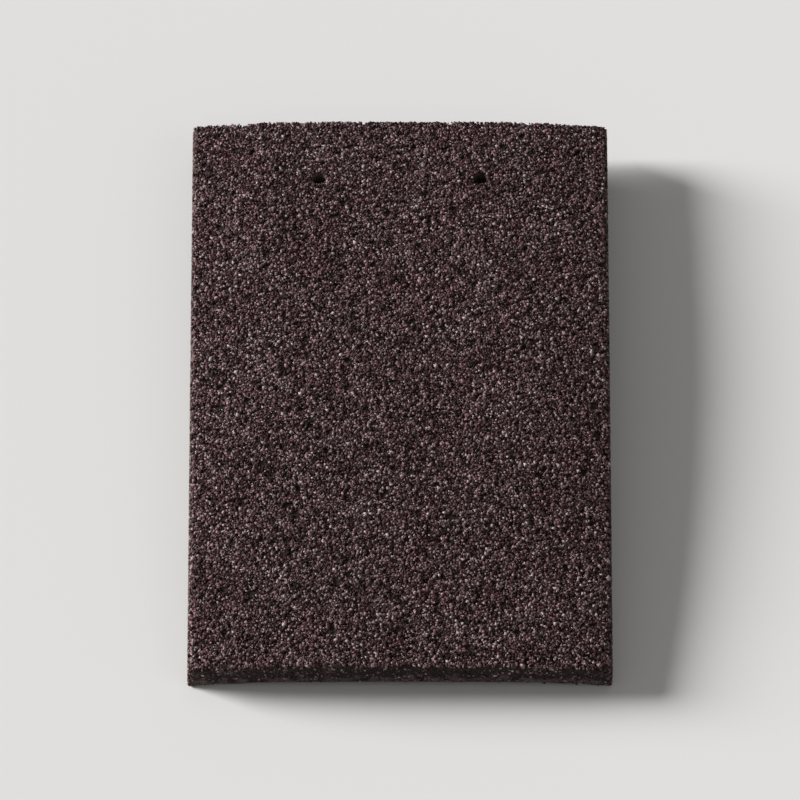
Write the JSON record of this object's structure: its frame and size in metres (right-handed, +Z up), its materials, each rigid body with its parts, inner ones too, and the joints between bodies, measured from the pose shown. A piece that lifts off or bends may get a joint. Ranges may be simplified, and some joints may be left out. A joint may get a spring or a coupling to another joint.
{
  "type": "concrete plain roof tile",
  "caption": "Double-cambered concrete plain roof tile with a granule-faced top, hooking nibs under its head and nail holes; one unit of a double-lap roof covering.",
  "frame": {"origin": "centre of the tile's footprint on the floor that it lies on", "axes": "+X across the tile, +Y along it from tail to head, +Z up out of its granule face"},
  "size_m": [0.165, 0.2668, 0.0244],
  "materials": {
    "granule_concrete": "dark brown granule facing on rough concrete"
  },
  "bodies": {
    "root": {"plain_tile": "granule_concrete"}
  },
  "joints": []
}
